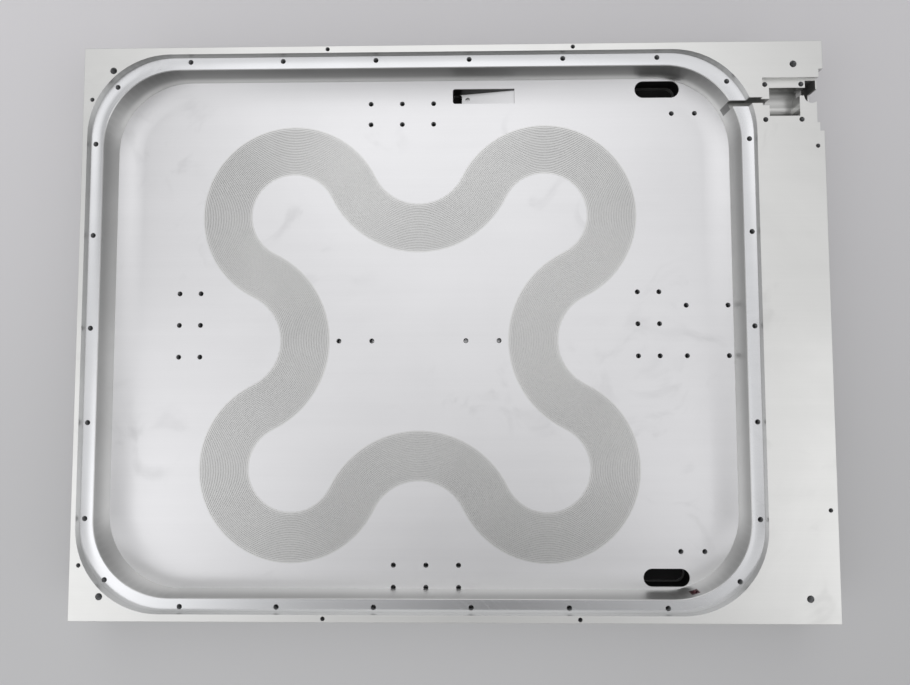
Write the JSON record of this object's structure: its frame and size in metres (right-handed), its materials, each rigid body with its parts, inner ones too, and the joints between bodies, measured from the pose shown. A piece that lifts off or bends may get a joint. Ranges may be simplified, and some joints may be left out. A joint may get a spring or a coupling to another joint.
{
  "type": "liquid cooling cold plate",
  "caption": "Machined aluminium cold plate: a deep rounded pocket with a wavy fibre track, a lid ledge with screw holes, cable slots, a connector seat and a coolant channel in its back.",
  "frame": {"origin": "middle of the back face", "axes": "+X towards the side with the connector seat, +Z out of the pocket"},
  "size_m": [0.43, 0.33, 0.032],
  "materials": {
    "milled_aluminium": "milled",
    "cover_aluminium": "milled"
  },
  "bodies": {
    "root": {"cold_plate_body": "milled_aluminium", "channel_cover": "cover_aluminium"}
  },
  "joints": []
}
